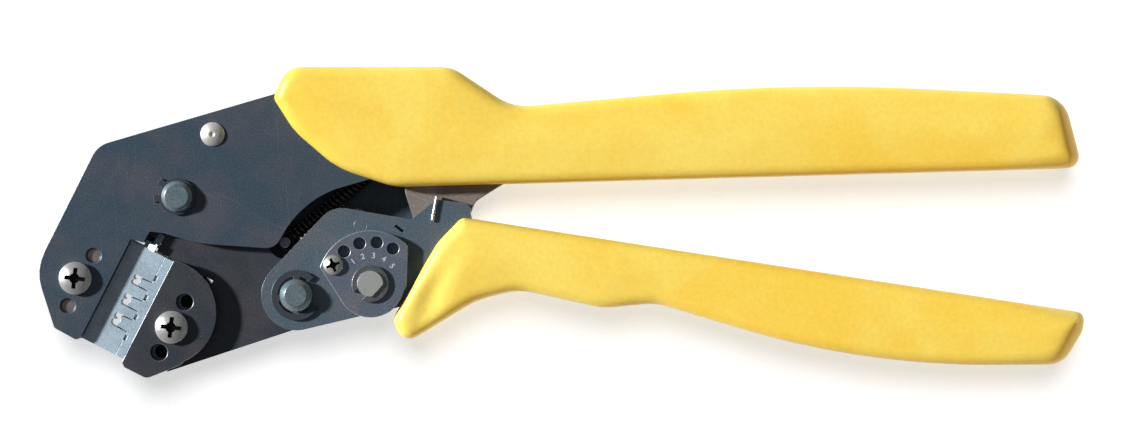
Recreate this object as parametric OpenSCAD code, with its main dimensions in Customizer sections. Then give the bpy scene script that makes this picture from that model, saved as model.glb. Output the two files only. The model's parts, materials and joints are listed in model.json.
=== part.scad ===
// Ratcheting crimping tool for open-barrel terminals, with an interchangeable three-nest die set.
// It is closed and lies flat on its grips. X runs from the jaws to the handle ends, Y crosses the
// tool, and Z goes up through the layers: rear plates, middle layer, front plates, adjuster.

/* [Layers] */
// Thickness of each side plate of the frame, the handle and the jaw
plate_t = 3; // [2.8:0.1:3.2]
// Width of the gap between the side plates
core_gap = 6; // [5.8:0.1:6.4]
// Height of the two grips, which the tool rests on
grip_h = 18; // [17.5:0.5:19]
// Side play of each moving piece between its neighbours
play = 0.1; // [0.05:0.01:0.12]

/* [Pivots] */
// Diameter of the pin that the jaw turns on
jaw_pin_d = 7.2; // [6.6:0.1:7.6]
// Diameter of the pin that the handle turns on
handle_pin_d = 7.5; // [7:0.1:7.8]
// Diameter of the eccentric pin's two journals
adjuster_pin_d = 5.9; // [5.7:0.1:6.2]
// Throw of the eccentric pin
adjuster_throw = 0.15; // [0.05:0.05:0.2]
// Diameter of the pin that anchors the toggle link to the frame
anchor_pin_d = 5; // [4.6:0.1:5.2]
// Clearance all round between a pin and the bore that turns on it
bore_play = 0.05; // [0.02:0.01:0.08]

/* [Dies] */
// Length of both dies along the jaw
die_length = 25.2; // [24:0.1:26]
// Distance between the centres of neighbouring nests
nest_pitch = 5.05; // [4.9:0.05:5.1]
// Width of the narrowest nest
nest_w = 2.4; // [2.2:0.1:2.6]
// How much wider each nest is than the one before
nest_step = 0.4; // [0.2:0.1:0.5]
// Distance between the two locating holes of a jaw
locator_pitch = 13; // [12.6:0.1:13.2]
// Diameter of the locating holes in the moving jaw
locator_d = 3.9; // [3.4:0.1:4]

/* [Adjuster] */
// Number of lock holes in the adjuster plate
lock_holes = 5; // [3:1:5]
// Angle between neighbouring lock holes, in degrees
lock_step = 24; // [22:1:26]
// Distance of the lock holes from the adjuster pin
lock_r = 9.54; // [9:0.1:9.8]

/* [Ratchet] */
// Angle between neighbouring ratchet teeth, in degrees
tooth_step = 6; // [5:1:8]
// Radius of the ratchet tooth tips
tooth_r = 9.5; // [9.2:0.1:9.5]

/* [Hidden] */
$fn = 64;

// Colours
STEEL = [0.27, 0.30, 0.35];
DARK_STEEL = [0.20, 0.21, 0.24];
BRIGHT_STEEL = [0.74, 0.74, 0.72];
DIE_STEEL = [0.60, 0.63, 0.65];
GRIP_YELLOW = [0.98, 0.80, 0.25];

// Heights of the layers
rear_z = (grip_h - core_gap) / 2 - plate_t;
core_z = rear_z + plate_t;
front_z = core_z + core_gap;
top_z = front_z + plate_t;
mid_z = core_z + core_gap / 2;
core_t = core_gap - 2 * play;
link_t = 2.2;
anchor_t = (core_gap - link_t) / 2 - 2 * play;

// Pivots
jaw_pivot = [-88.4, 5.8];
handle_pivot = [-61, -16.9];
adjuster_centre = [-43.9, -14.2];
anchor_centre = [-28, -6.5];
pawl_pivot = [-46.4, -0.9];

// Fasteners
frame_rivet_at = [-80.3, 20.1];
upper_rivets_at = [[-26, 20], [20, 19.6], [88, 20.6]];
lower_rivets_at = [[0, -9.4], [48, -17.6], [96, -25]];
tang_rivet_d = 4;
screw_d = 4;
screw_head_d = 7.5;
screw_head_h = 2.6;
screw_gap = 0.15;
dowel_d = 3;
clip_t = 0.8;
groove_depth = 0.6;

// The jaw's own axes start at the top of the frame's die edge. There x runs from the fixed die
// to the moving die, and y runs up the jaw towards its pivot.
jaw_corner = [-99.1, -3.95];
jaw_angle = -27;
fixed_screw_at = [-7.2, -13.8];
fixed_dowels_x = -5.9;
moving_screw_at = [17.6, -13.8];
die_top = -0.3;
die_gap = 0.1;
die_rise = 1.2;
land_gap = 0.15;
fixed_die_back = -10.7;
fixed_die_tip = 8.7;
nest_root = 4.3;
moving_die_face = fixed_die_tip + die_gap;
moving_die_back = 21;
finger_tip = 5.9;
first_nest = -8;
cheek_edge = 11;
cheek_centre = [14.3, -11.7];
cheek_r = 12.2;
cheek_bevel = 1;

// Frame and handle details
frame_arc_r = 23.2;
handle_end_r = 8.1;
jaw_boss_r = 11;
jaw_lobe_r = 7.4;
adjuster_r = 12.2;
adjuster_t = 1.85;
adjuster_end_r = 7.8;
first_lock_angle = 153.4;
lock_hole_d = 2.8;
anchor_lobe_r = 5;
link_hole_play = 0.8;
pawl_gap = 0.15;
pawl_reach = norm(pawl_pivot - adjuster_centre);

// Return spring
jaw_post_at = [-63.9, -4.8];
frame_post_at = [-43, 12.2];
spring_wire_d = 0.9;
spring_coil_r = 1.35;
post_d = 2.5;
ear_t = 1;

function unit(v) = v / norm(v);
function polar(r, a) = [r * cos(a), r * sin(a)];
function turned(v, a) = [v.x * cos(a) - v.y * sin(a), v.x * sin(a) + v.y * cos(a)];
function side(a, b) = sign(a.x * b.y - a.y * b.x);
function from_jaw(p) = jaw_corner + turned(p, jaw_angle);
function jaw_corner_at(x, y, r) = concat(from_jaw([x, y]), [r]);

// The points that replace one corner [x, y, radius] by an arc tangent to both its sides
function corner_points(before, corner, after) =
    let (c = [corner.x, corner.y], a = unit([before.x, before.y] - c),
         b = unit([after.x, after.y] - c), r = corner.z)
    r == 0 ? [c] :
    let (half = acos(a * b) / 2, centre = c + unit(a + b) * r / sin(half),
         start = c + a * r / tan(half) - centre, sweep = side(-a, b) * (180 - 2 * half),
         steps = max(2, ceil(abs(sweep) / 12)))
    [for (i = [0 : steps]) centre + turned(start, sweep * i / steps)];

// An outline given by its corners, each [x, y, radius]
function rounded(corners) =
    let (n = len(corners))
    [for (i = [0 : n - 1])
        each corner_points(corners[(i + n - 1) % n], corners[i], corners[(i + 1) % n])];

module layer(z, t) translate([0, 0, z]) linear_extrude(t) children();
module at(p, z = 0) translate([p.x, p.y, z]) children();
module at_jaw(p = [0, 0], z = 0) at(jaw_corner, z) rotate(jaw_angle) at(p) children();
module bore(p, d, z = -1, h = 30) at(p, z) cylinder(d = d, h = h);
module pin(p, d, z, h) at(p, z) cylinder(d = d, h = h);

// A pin with a bevelled front end and a groove for a clip at each end
module grooved_pin(p, d, z, h, bevel) at(p, z) difference() {
    union() {
        cylinder(d = d, h = h - bevel);
        translate([0, 0, h - bevel]) cylinder(d1 = d, d2 = d - 2 * bevel, h = bevel);
    }
    for (groove_z = [rear_z - clip_t - z, top_z - z]) translate([0, 0, groove_z]) difference() {
        cylinder(d = d + 1, h = clip_t);
        cylinder(d = d - 2 * groove_depth, h = clip_t);
    }
}

// A clip in the shape of an E: a ring open on one side, with three prongs in the pin's groove
module e_clip(p, pin_d, outer_r, open_angle) {
    inner_r = pin_d / 2 - groove_depth;
    ring_r = outer_r - 1.5;
    prong_w = 1.6;
    at(p) rotate(open_angle) difference() {
        union() {
            difference() {
                circle(r = outer_r);
                circle(r = ring_r);
                polygon([[0, 0], [2 * outer_r, 1.5 * outer_r], [2 * outer_r, -1.5 * outer_r]]);
            }
            for (a = [80, 180, 280]) rotate(a) translate([inner_r - 0.3, -prong_w / 2])
                square([ring_r - inner_r + 0.8, prong_w]);
        }
        circle(r = inner_r);
    }
}

// A retaining ring: it lies close round the pin in the groove and is open between its two lugs
module lug_ring(p, pin_d, heading) at(p) difference() {
    ring_r = pin_d / 2 + 0.6;
    lug = [2.2, 1.5];
    union() {
        circle(r = ring_r);
        for (s = [-1, 1]) rotate(heading + s * 24) translate([ring_r - 1, -lug.y / 2]) square(lug);
    }
    circle(r = pin_d / 2 - groove_depth);
    rotate(heading) translate([0, -lug.y / 2]) square([2 * ring_r, lug.y]);
}

// A pan head with a crossed recess, over a shank that reaches down by shank_h
module pan_screw(head_d, head_h, shank_d, shank_h, recess_w) {
    rim_h = head_h * 0.45;
    dome_h = head_h - rim_h;
    dome_r = (pow(head_d / 2, 2) + dome_h * dome_h) / (2 * dome_h);
    difference() {
        union() {
            cylinder(d = head_d, h = rim_h);
            translate([0, 0, rim_h]) intersection() {
                translate([0, 0, dome_h - dome_r]) sphere(r = dome_r);
                cylinder(d = head_d, h = head_h);
            }
            translate([0, 0, -shank_h]) cylinder(d = shank_d, h = shank_h + rim_h / 2);
        }
        for (a = [20, 110]) rotate(a) translate([-recess_w, -recess_w / 5, head_h * 0.42])
            cube([2 * recess_w, recess_w / 2.5, head_h]);
        translate([0, 0, head_h * 0.3]) cylinder(d = recess_w, h = head_h);
    }
}

// Frame

// The front plate is notched at the die window and curves clear of the handle and the return
// spring. The rear plate has no notch, and backs the gap down to just under the handle's edge.
module frame_outline(front) polygon(rounded(concat(
    [[-106.8, 17.45, 6], [-121, -11, 11], [-116.7, -24.4, 1], [-111.6, -27.2, 0.8]],
    [jaw_corner_at(0, -25.4, 0.3), jaw_corner_at(0, 0, 0.3)],
    front ? [jaw_corner_at(2.9, 0.5, 0.3), jaw_corner_at(3.1, 3.5, 0.3)]
          : [jaw_corner_at(6.1, 0.5, 0.3)],
    [jaw_corner_at(6.1, 4.6, 0.3), [-83.5, -5, 30]],
    front ? concat([[-66, -6.2, 3.5]],
                [for (a = [153 : -6 : 111]) concat(adjuster_centre + polar(frame_arc_r, a), [0])],
                [[-44.2, 9.8, 3], [-38, 10.9, 5]])
          : [[-67, -6.2, 1], [-63.6, -5, 2], [-52.5, 3.1, 6], [-34.5, 0, 0.6],
             [-28.7, 4.6, 0.5], [-21.2, 3.7, 1], [-13.2, 9.8, 2], [-12, 12.2, 1]],
    [[116.2, 14.9, 2.5], [110, 26.4, 5], [50, 29.2, 200],
     [-13.5, 24.2, 10], [-28.5, 33, 6], [-58.5, 31.6, 6]])));

module frame_plate(z, screw_hole_d, front) difference() {
    layer(z, plate_t) frame_outline(front);
    bore(jaw_pivot, jaw_pin_d);
    bore(frame_rivet_at, 4);
    for (p = upper_rivets_at) bore(p, tang_rivet_d);
    at_jaw() {
        bore(fixed_screw_at, screw_hole_d);
        for (s = [-1, 1]) bore([fixed_dowels_x, fixed_screw_at.y + s * locator_pitch / 2], dowel_d);
    }
}

module frame_front_plate() color(STEEL) difference() {
    frame_plate(front_z, screw_d + 2 * screw_gap, true);
    at_jaw() for (s = [-1, 1])
        translate([fixed_dowels_x, fixed_screw_at.y + s * locator_pitch / 2, top_z - 0.5])
            cylinder(d1 = dowel_d - 0.2, d2 = dowel_d + 1, h = 0.6);
}

module frame_rear_plate() color(STEEL) frame_plate(rear_z, screw_d, false);

module anchor_outline() {
    left = anchor_centre.x - anchor_lobe_r;
    right = anchor_centre.x + anchor_lobe_r;
    bottom = anchor_centre.y - anchor_lobe_r;
    lobe_corner_r = anchor_lobe_r - 0.01;
    polygon(rounded([[-37.5, 29, 2], [-27, 29.5, 3], [-12, 22, 3], [-12.4, 9.4, 1.5],
        [-20, 4.7, 3], [right, -3, 4], [right, bottom, lobe_corner_r],
        [left, bottom, lobe_corner_r], [left, -3, 6], [-36, 6, 6], [-37.5, 14, 3]]));
}

module anchor_plate(z) difference() {
    layer(z, anchor_t) anchor_outline();
    bore(anchor_centre, anchor_pin_d);
    bore(upper_rivets_at[0], tang_rivet_d);
}

module front_anchor_plate() color(DARK_STEEL) anchor_plate(front_z - play - anchor_t);
module rear_anchor_plate() color(DARK_STEEL) anchor_plate(core_z + play);

module anchor_pin() color(BRIGHT_STEEL) pin(anchor_centre, anchor_pin_d, core_z + play, core_t);

module upper_handle_spacer() color(DARK_STEEL) difference() {
    layer(core_z, core_gap) polygon(rounded([[-9, 12.8, 2], [113.5, 16.2, 2], [108.5, 25, 4],
        [50, 27.8, 200], [-9, 23.4, 2]]));
    for (i = [1, 2]) bore(upper_rivets_at[i], tang_rivet_d);
}

// Each rivet has a low head on both sides; the first also spreads the two anchor plates
module tang_rivet(p) {
    pin(p, tang_rivet_d, rear_z, top_z - rear_z);
    for (z = [rear_z - 0.6, top_z]) pin(p, tang_rivet_d + 2, z, 0.6);
}

module upper_handle_rivets() color(BRIGHT_STEEL) {
    for (p = upper_rivets_at) tang_rivet(p);
    pin(upper_rivets_at[0], tang_rivet_d + 3, core_z + play + anchor_t, core_t - 2 * anchor_t);
}

module jaw_pivot_pin() color(BRIGHT_STEEL)
    grooved_pin(jaw_pivot, jaw_pin_d, rear_z - 2, top_z - rear_z + 4.2, 0.9);

module jaw_pivot_clips() color(DARK_STEEL) for (z = [rear_z - clip_t, top_z])
    layer(z, clip_t) lug_ring(jaw_pivot, jaw_pin_d, 162);

module frame_rivet() color(BRIGHT_STEEL) {
    pin(frame_rivet_at, 4, rear_z, top_z - rear_z);
    pin(frame_rivet_at, 6.4, core_z, core_gap);
    at(frame_rivet_at, rear_z - 1) cylinder(d1 = 4.6, d2 = 5.6, h = 1);
    at(frame_rivet_at, top_z) difference() {
        intersection() {
            cylinder(d = 5.6, h = 1.3);
            translate([0, 0, -3]) sphere(r = 4.3);
        }
        translate([0, 0, 0.9]) cylinder(d1 = 0.6, d2 = 1.5, h = 0.5);
    }
}

// The post stands on a foot that is riveted into the rear plate
module frame_spring_post() color(BRIGHT_STEEL) {
    pin(frame_post_at, post_d, core_z, core_gap);
    pin(frame_post_at, post_d + 2, core_z, 1.2);
}

// Dies, drawn on the jaw's own axes

// Each die is a block in the middle layer, with a land that stands higher between the plates.
module die_block(x0, x1, t) translate([x0, die_top - die_length, core_z + play])
    cube([x1 - x0, die_length, t]);

// Takes a corner off a die block, leg long on each side
module corner_cut(x, y, leg) at([x, y]) rotate(45)
    cube([leg * sqrt(2), leg * sqrt(2), 100], center = true);

// One nest in the fixed die: a slot with a twin-lobed root that curls the terminal's two wings
module nest(i, z, h, wider = 0) {
    w = nest_w + nest_step * i + wider;
    y = first_nest - nest_pitch * i;
    translate([nest_root + w / 4 - wider, y - w / 2, z]) cube([8, w, h]);
    for (s = [-1, 1]) translate([nest_root + w / 4 - wider, y + s * w / 4, z])
        cylinder(d = w / 2, h = h);
}

// A ramp that rises towards the moving die, on the lug that closes the die window's top
module ramp(x0, x1, y0, y1) translate([0, y1, front_z + play / 2]) rotate([90, 0, 0])
    linear_extrude(y1 - y0) polygon([[x0, 0], [x1, 0], [x1, (x1 - x0) * 0.6], [x0, 0.1]]);

module fixed_die() color(DIE_STEEL) at_jaw() difference() {
    union() {
        die_block(fixed_die_back, fixed_die_tip, core_t);
        die_block(land_gap, fixed_die_tip, core_t + die_rise);
        ramp(3.1, 6, die_top - 0.1, 1.4);
        ramp(4.9, 6.5, 1.3, 4.1);
    }
    corner_cut(fixed_die_back, die_top - die_length, 5.2);
    for (i = [0 : 2]) {
        nest(i, core_z, core_gap + die_rise);
        nest(i, core_z, core_gap * 0.4, 0.3);
    }
    bore(fixed_screw_at, screw_d + 2 * screw_gap);
    for (s = [-1, 1]) bore([fixed_dowels_x, fixed_screw_at.y + s * locator_pitch / 2], dowel_d);
}

// One finger of the moving die: it tapers towards its hollow tip to clear the nest as it swings
module finger(i) {
    w = nest_w + nest_step * i;
    root_clear = 0.1;
    tip_clear = 0.42;
    translate([0, first_nest - nest_pitch * i, core_z + play]) difference() {
        linear_extrude(core_t + die_rise) polygon([[moving_die_face + 0.5, -w / 2 + root_clear],
            [moving_die_face + 0.5, w / 2 - root_clear], [finger_tip, w / 2 - tip_clear],
            [finger_tip, -w / 2 + tip_clear]]);
        translate([finger_tip - w * 0.22, 0, -1]) cylinder(d = w * 0.7, h = 2 * core_gap);
    }
}

module moving_die() color(DIE_STEEL) at_jaw() difference() {
    union() {
        die_block(moving_die_face, moving_die_back, core_t);
        die_block(moving_die_face, cheek_edge - land_gap, core_t + die_rise);
        for (i = [0 : 2]) finger(i);
    }
    for (y = [die_top, die_top - die_length]) corner_cut(moving_die_back, y, 3.2);
    for (y = [-6.3, -11.3, -16.3, -21.6]) translate([moving_die_face - 1, y, core_z])
        cube([1.6, 1.3, core_gap + die_rise]);
    bore(moving_screw_at, screw_d + 2 * screw_gap);
    for (s = [-1, 1]) {
        bore([moving_screw_at.x, moving_screw_at.y + s * locator_pitch / 2], dowel_d, -1, mid_z + 1);
        bore([moving_screw_at.x, moving_screw_at.y + s * locator_pitch / 2], locator_d, mid_z, 9);
    }
}

module die_screw(p) at_jaw(p, top_z) pan_screw(screw_head_d, screw_head_h, screw_d, top_z - rear_z, 2.4);
module fixed_die_screw() color(BRIGHT_STEEL) die_screw(fixed_screw_at);
module moving_die_screw() color(BRIGHT_STEEL) die_screw(moving_screw_at);

module fixed_die_dowels() color(BRIGHT_STEEL) at_jaw() for (s = [-1, 1])
    pin([fixed_dowels_x, fixed_screw_at.y + s * locator_pitch / 2], dowel_d, rear_z, top_z - rear_z - 0.8);

module moving_die_dowels() color(BRIGHT_STEEL) at_jaw() for (s = [-1, 1])
    pin([moving_screw_at.x, moving_screw_at.y + s * locator_pitch / 2], dowel_d, rear_z, mid_z - rear_z);

// Moving jaw

module cheek_outline() difference() {
    union() {
        at(cheek_centre) circle(r = cheek_r);
        polygon(rounded([[cheek_edge, -12, 0], [cheek_edge, -26.2, 0.5], [12, -27, 0.8],
            [17.8, -27, 2], [23.9, -20, 2], [20, -12, 0]]));
    }
    translate([cheek_edge - 40, -40]) square([40, 60]);
}

module moving_jaw() color(STEEL) difference() {
    union() {
        layer(core_z + play, core_t) {
            at(jaw_pivot) circle(r = jaw_boss_r);
            at(handle_pivot) circle(r = jaw_lobe_r);
            polygon(rounded([[-81, 13.5, 0], jaw_corner_at(5.4, 10, 0), jaw_corner_at(6.4, 0, 0),
                jaw_corner_at(11, 0, 0), jaw_corner_at(cheek_edge, -26.2, 0.3),
                jaw_corner_at(12, -27, 0.8), jaw_corner_at(17.8, -27, 2), [-58.9, -24, 0],
                [-53.7, -15.9, 0], [-60.5, -8, 4], [-70.5, -2, 8], [-78, 2, 0]]));
        }
        at(jaw_post_at, core_z + play) cylinder(r = 3.2, h = ear_t);
        layer(core_z + play, ear_t) polygon([[-67, -3.9], [-62, -2], [-60.8, -6], [-66, -9]]);
    }
    bore(jaw_pivot, jaw_pin_d + 2 * bore_play);
    bore(handle_pivot, handle_pin_d + 2 * bore_play);
    bore(jaw_post_at, post_d);
    at(jaw_post_at, core_z + play + ear_t) cylinder(r = 3.8, h = core_gap);
    at_jaw([0, die_top - die_length - 5, core_z]) translate([0, 0, core_z - 1])
        cube([moving_die_back + 0.02, die_length + 5.2, core_gap + 2]);
}

module cheek(z, screw_hole_d, hole_d) at_jaw() difference() {
    layer(z, plate_t) cheek_outline();
    bore(moving_screw_at, screw_hole_d);
    for (s = [-1, 1]) bore([moving_screw_at.x, moving_screw_at.y + s * locator_pitch / 2], hole_d);
}

module jaw_front_cheek() color(STEEL) difference() {
    cheek(front_z, screw_d + 2 * screw_gap, locator_d);
    at_jaw() translate([cheek_edge, -30, top_z - cheek_bevel]) rotate([0, -45, 0])
        translate([-2, 0, 0]) cube([2, 40, 4]);
}

module jaw_rear_cheek() color(STEEL) cheek(rear_z, screw_d, dowel_d);

module jaw_spring_post() color(BRIGHT_STEEL) pin(jaw_post_at, post_d, core_z + play, core_t - 0.3);

// Return spring: one wire that hooks round each post and coils between them. A wire's path is a
// list of [point, outward direction] pairs, and the outward direction keeps the sweep untwisted.

spring_axis = unit(frame_post_at - jaw_post_at);
spring_span = norm(frame_post_at - jaw_post_at);
spring_turns = 19;
hook_r = post_d / 2 + spring_wire_d / 2 + 0.05;
coil_start = hook_r + 0.5;
coil_steps = 12;

function along_spring(v) = spring_axis * v.x + turned(spring_axis, 90) * v.y;
function spring_point(v) = concat(jaw_post_at + along_spring(v), [mid_z + v.z]);
function spring_pair(centre, outward, r) =
    [spring_point(centre + r * outward), concat(along_spring(outward), [outward.z])];

function hook_pairs(post_x, from, to) =
    [for (a = [from : -30 : to]) spring_pair([post_x, 0, 0], [cos(a), sin(a), 0], hook_r)];

spring_path = concat(
    hook_pairs(0, 330, 90),
    [for (i = [0 : spring_turns * coil_steps])
        let (a = 360 * i / coil_steps,
             x = coil_start + (spring_span - 2 * coil_start) * i / (spring_turns * coil_steps))
        spring_pair([x, 0, 0], [0, cos(a), sin(a)], spring_coil_r)],
    hook_pairs(spring_span, 90, -150));

function section(path, i, r, sides) =
    let (t = unit(path[min(i + 1, len(path) - 1)][0] - path[max(i - 1, 0)][0]),
         outward = path[i][1], u = unit(outward - t * (outward * t)), v = cross(t, u))
    [for (k = [0 : sides - 1])
        path[i][0] + r * (u * cos(360 * k / sides) + v * sin(360 * k / sides))];

// A round wire swept along a path
module wire(path, d, sides = 6) {
    n = len(path);
    points = [for (i = [0 : n - 1]) each section(path, i, d / 2, sides)];
    polyhedron(points, concat(
        [[for (k = [0 : sides - 1]) k]],
        [for (i = [0 : n - 2], k = [0 : sides - 1]) let (a = i * sides, b = (k + 1) % sides)
            each [[a + b, a + k, a + sides + k], [a + b, a + sides + k, a + sides + b]]],
        [[for (k = [sides - 1 : -1 : 0]) (n - 1) * sides + k]]));
}

module return_spring() color(DARK_STEEL) wire(spring_path, spring_wire_d);

// Handle

// The rear plate is cut back along its upper edges, where the frame's rear plate comes under the
// front plate's edge.
module handle_outline(front) {
    at(handle_pivot) circle(r = handle_end_r);
    polygon(rounded(concat([[-59.3, -24.8, 0], [-36, -19.3, 8], [-22, -13.4, 10], [28, -17.2, 40],
        [64, -26.8, 60], [112.5, -30.2, 5], [115.8, -22.9, 2.5], [-18.6, -2.5, 1], [-21, -2.2, 0]],
        front ? [[-21, 4.1, 1.6], [-28.9, 5.1, 0.5], [-34.6, 0.5, 0.6], [-52.7, 3.6, 6],
                 [-66.9, -11.3, 0]]
              : [[-21, 2.4, 1.6], [-28.3, 3.4, 0.5], [-34.4, -1.2, 0.6], [-52.1, 1.9, 6],
                 [-65.7, -12.4, 0]])));
}

module handle_plate(z, front) difference() {
    layer(z, plate_t) handle_outline(front);
    bore(handle_pivot, handle_pin_d);
    bore(adjuster_centre, adjuster_pin_d + 2 * bore_play);
    bore(pawl_pivot, 3);
    for (p = lower_rivets_at) bore(p, tang_rivet_d);
}

module handle_front_plate() color(STEEL) difference() {
    handle_plate(front_z, true);
    bore(adjuster_centre + polar(lock_r, first_lock_angle), 2.5);
    at([-37.4, -1.6], front_z - 1) rotate(-38) translate([-1.2, -0.35, 0]) cube([2.4, 0.7, 9]);
}

module handle_rear_plate() color(STEEL) handle_plate(rear_z, false);

module lower_handle_spacer() color(DARK_STEEL) difference() {
    layer(core_z, core_gap) polygon(rounded([[-7, -5.4, 2], [113.5, -23.9, 2], [110.5, -29, 3],
        [64, -25.6, 60], [28, -16, 40], [-7, -13.4, 2]]));
    for (p = lower_rivets_at) bore(p, tang_rivet_d);
}

module lower_handle_rivets() color(BRIGHT_STEEL) for (p = lower_rivets_at) tang_rivet(p);

module handle_pivot_pin() color(BRIGHT_STEEL)
    grooved_pin(handle_pivot, handle_pin_d, rear_z - 2.2, top_z - rear_z + 5.2, 1.2);

module handle_pivot_clips() color(DARK_STEEL) for (z = [rear_z - clip_t, top_z])
    layer(z, clip_t) e_clip(handle_pivot, handle_pin_d, 5.8, 9);

// A bent wire, set in the front plate and hooked over its edge, that the pawl spring pulls on
module spring_hook() color(BRIGHT_STEEL) {
    foot = [-29.7, 0.4];
    bend = [-28.75, 5.6];
    length = norm(bend - foot);
    heading = atan2(bend.y - foot.y, bend.x - foot.x);
    at(foot, top_z + 0.4) sphere(d = 0.8);
    at(foot, top_z + 0.4) rotate([0, 90, heading]) cylinder(d = 0.8, h = length);
    at(bend, top_z + 0.4) sphere(d = 0.8);
    at(bend, front_z + 0.6) cylinder(d = 0.8, h = plate_t - 0.2);
}

// Toggle link with its ratchet teeth, and the pawl

module link_outline() {
    heading = atan2(anchor_centre.y - adjuster_centre.y, anchor_centre.x - adjuster_centre.x);
    hub_r = 5.6;
    eye_r = 4.9;
    length = norm(anchor_centre - adjuster_centre);
    pawl_side = 3;
    at(adjuster_centre) {
        circle(r = hub_r);
        rotate(heading) {
            translate([length, 0]) circle(r = eye_r);
            polygon([[0, pawl_side], [0, -hub_r], [length, -eye_r], [length, pawl_side]]);
        }
        polygon(concat([[0, 0]], [for (a = [44 : tooth_step : 116]) each
            [polar(tooth_r, a), polar(tooth_r - 0.8, a + tooth_step * 0.8)]]));
    }
}

module toggle_link() color(DARK_STEEL) difference() {
    layer(mid_z - link_t / 2, link_t) link_outline();
    bore(adjuster_centre, 5.8);
    bore(anchor_centre, anchor_pin_d + 2 * link_hole_play);
}

module pawl() color(BRIGHT_STEEL) at(pawl_pivot, mid_z - link_t / 2) rotate(10.6) difference() {
    linear_extrude(link_t) {
        circle(r = 2.6);
        polygon([[-2.4, -0.8], [-0.6, -3.5], [0.2, tooth_r + pawl_gap - pawl_reach], [2.4, -0.8],
            [1.6, 1.2], [0.9, 3.6], [-0.9, 4.2], [-1.9, 3.6], [-2, 1.2]]);
    }
    translate([0, 0, -1]) cylinder(d = 3 + 2 * bore_play, h = link_t + 2);
}

module pawl_rivet() color(BRIGHT_STEEL) {
    pin(pawl_pivot, 3, rear_z - 0.4, top_z - rear_z + 0.4);
}

// A short torsion spring round the pawl's rivet: a coil of two turns and the leg that ends over
// the pawl. The coil's rise keeps one turn clear of the next.
pawl_wire_d = 0.4;
pawl_coil_z = mid_z + 1.5;
pawl_coil_rise = 0.96;
pawl_spring_path = concat(
    [for (i = [0 : 24]) let (a = 30 + 30 * i, outward = [cos(a), sin(a), 0])
        [concat(pawl_pivot, [pawl_coil_z + pawl_coil_rise * i / 24]) + 2.1 * outward, outward]],
    [[concat(pawl_pivot, [pawl_coil_z + pawl_coil_rise + 0.1]) + [-0.6, 4, 0],
        [cos(30), sin(30), 0]]]);

module pawl_spring() color(BRIGHT_STEEL) wire(pawl_spring_path, pawl_wire_d);

// Adjuster

module adjuster_pin() color(BRIGHT_STEEL) difference() {
    union() {
        pin(adjuster_centre, adjuster_pin_d, rear_z - 1.2, core_z + play - rear_z + 1.2);
        at(adjuster_centre + [adjuster_throw, 0], core_z + play) cylinder(r = 2.7, h = core_t);
        pin(adjuster_centre, adjuster_pin_d, front_z - play, top_z - front_z + play + 3.3);
    }
    at(adjuster_centre, top_z + play + adjuster_t) difference() {
        cylinder(r = 5, h = clip_t);
        cylinder(r = adjuster_pin_d / 2 - 0.5, h = clip_t);
    }
    at(adjuster_centre, top_z + play + adjuster_t + clip_t) rotate(-42) translate([2.3, -5, 0])
        cube([5, 10, 5]);
}

module adjuster_outline() {
    intersection() {
        at(adjuster_centre) circle(r = adjuster_r);
        polygon([[-57.6, -7.3], [-55.6, -10.3], [-50.2, -18.7], [-37.4, -18.5], [-35.55, -14.4],
            [-35.3, -5.3], [-36, 2], [-57, 2]]);
    }
    at(adjuster_centre) circle(r = adjuster_end_r);
}

module adjuster_plate() color(STEEL) difference() {
    layer(top_z + play, adjuster_t) adjuster_outline();
    bore(adjuster_centre, adjuster_pin_d);
    for (i = [0 : lock_holes - 1])
        bore(adjuster_centre + polar(lock_r, first_lock_angle - lock_step * i), lock_hole_d);
}

module adjuster_lock_screw() color(BRIGHT_STEEL)
    at(adjuster_centre + polar(lock_r, first_lock_angle), top_z + play + adjuster_t)
        pan_screw(4.5, 1.5, lock_hole_d - 0.3, adjuster_t, 1.6);

module adjuster_snap_ring() color(BRIGHT_STEEL) layer(top_z + play + adjuster_t, clip_t)
    at(adjuster_centre) difference() {
        circle(r = 4.25);
        circle(r = adjuster_pin_d / 2 - 0.5);
        rotate(225) translate([0, -1.2]) square([6, 2.4]);
    }

// Grips: moulded sleeves with rounded edges, each with a pocket that fits the tang plates

module sleeve(corners) {
    steps = [[0, 2], [0.4, 1.1], [1, 0.5], [2, 0.1], [3.2, 0]];
    for (i = [0 : 4]) {
        next = i < 4 ? steps[i + 1][0] : grip_h / 2;
        for (z = [steps[i][0], grip_h - next]) layer(z, next - steps[i][0])
            offset(delta = -steps[i][1]) polygon(rounded(corners));
    }
}

module upper_grip() color(GRIP_YELLOW) difference() {
    sleeve([[-66.3, 28.4, 1.4], [-63.4, 35.6, 5.6], [-25.3, 35.6, 9], [-11.3, 26.3, 12],
        [53.3, 32, 430], [115.6, 28.9, 7], [120, 12.4, 2.8], [-38.5, 8, 14],
        [-51.5, 12.2, 22], [-61.5, 20.8, 18]]);
    layer(rear_z - play, top_z - rear_z + 2 * play) offset(delta = play) frame_outline(true);
    layer(rear_z - play, plate_t + 2 * play) offset(delta = play) frame_outline(false);
    layer(core_z, core_gap) offset(delta = play) anchor_outline();
    for (p = upper_rivets_at) bore(p, tang_rivet_d + 2.4, rear_z - 0.8, top_z - rear_z + 1.6);
}

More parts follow.
